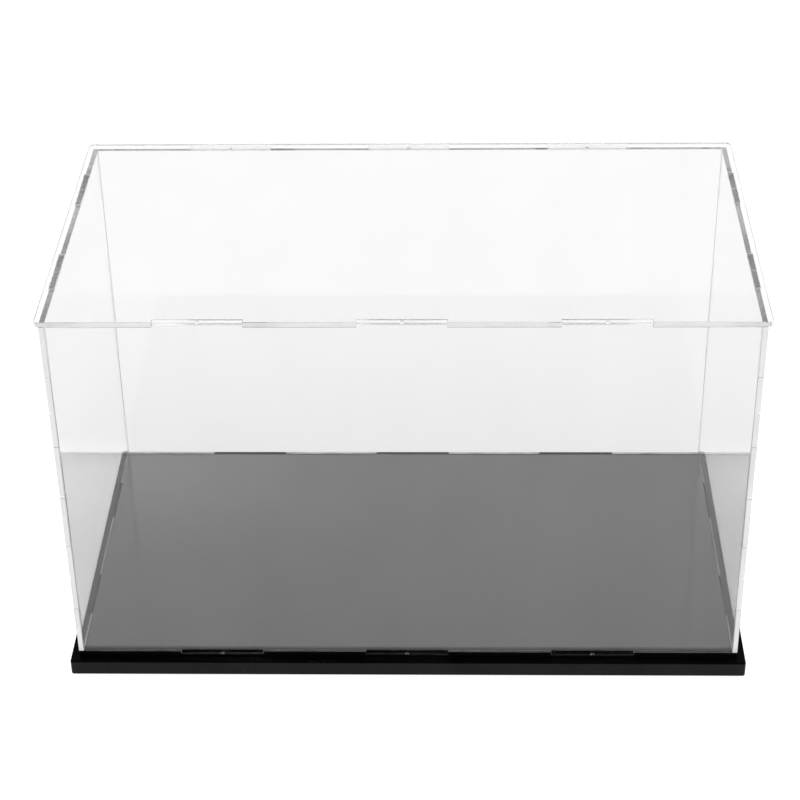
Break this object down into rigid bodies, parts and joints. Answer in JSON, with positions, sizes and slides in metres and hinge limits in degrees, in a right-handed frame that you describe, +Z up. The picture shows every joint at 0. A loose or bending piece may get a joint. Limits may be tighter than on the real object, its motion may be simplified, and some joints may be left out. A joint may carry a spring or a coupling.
{
  "type": "football display case",
  "caption": "Clear rectangular display case of finger-jointed acrylic sheets with a lift-off lid, standing on a black base.",
  "frame": {"origin": "centre of the plinth's underside", "axes": "+Z up, +X along the long side, the front panel faces -Y"},
  "size_m": [0.41, 0.227, 0.2472],
  "materials": {
    "clear_acrylic": "polished clear cast acrylic sheet with laser-cut edges",
    "floor_black": "polished black acrylic sheet",
    "plinth_black": "black acrylic slab with satin cut edges"
  },
  "bodies": {
    "base": {"base_plinth": "plinth_black", "floor_panel": "floor_black"},
    "cover": {"front_panel": "clear_acrylic", "back_panel": "clear_acrylic", "left_panel": "clear_acrylic", "right_panel": "clear_acrylic"},
    "lid": {"lid_panel": "clear_acrylic"}
  },
  "joints": [
    {"name": "cover_lift", "type": "slide", "parent": "base", "child": "cover", "axis": [0, 0, 1], "range_m": [0, 0.25]},
    {"name": "lid_lift", "type": "slide", "parent": "cover", "child": "lid", "axis": [0, 0, 1], "range_m": [0, 0.12]}
  ]
}
